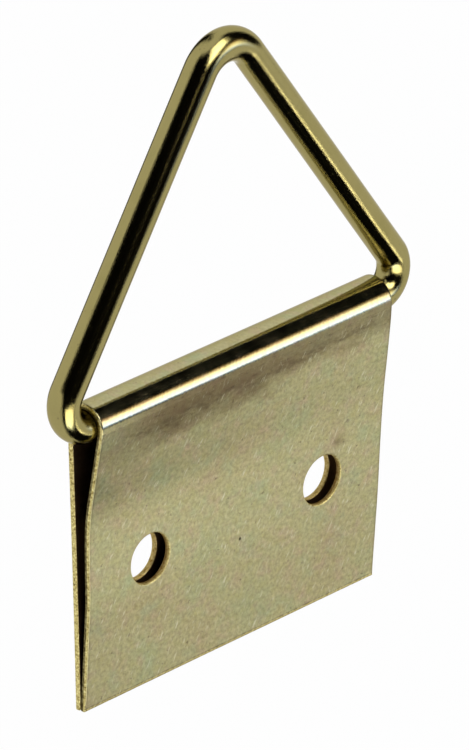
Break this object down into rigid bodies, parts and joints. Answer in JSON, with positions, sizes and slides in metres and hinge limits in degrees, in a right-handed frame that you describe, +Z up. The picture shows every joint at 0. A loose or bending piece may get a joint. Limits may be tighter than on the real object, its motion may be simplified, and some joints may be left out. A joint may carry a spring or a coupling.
{
  "type": "triangle ring strap hanger",
  "caption": "Picture hanger: a bent wire triangle swings in the fold of a sheet metal strap with screw holes.",
  "frame": {"origin": "on the strap's back face, midway between the centres of the two screw holes", "axes": "+X along the hinge, to the right as seen from the front; +Y out of the back face, to the wall or frame; +Z up, from the screw holes to the top of the ring"},
  "size_m": [0.037, 0.0035, 0.0486],
  "materials": {
    "strap_plating": "thin brass-coloured plating on sheet steel, satin, with fine rolling scratches and bright sheared edges",
    "ring_plating": "brass-coloured plating on drawn steel wire, glossy"
  },
  "bodies": {
    "strap": {"folded_strap": "strap_plating"},
    "ring": {"triangle_ring": "ring_plating"}
  },
  "joints": [
    {"name": "ring_swing", "type": "hinge", "parent": "strap", "child": "ring", "pos_m": [0, -0.00175, 0.01255], "axis": [1, 0, 0], "range_deg": [-140, 146]}
  ]
}
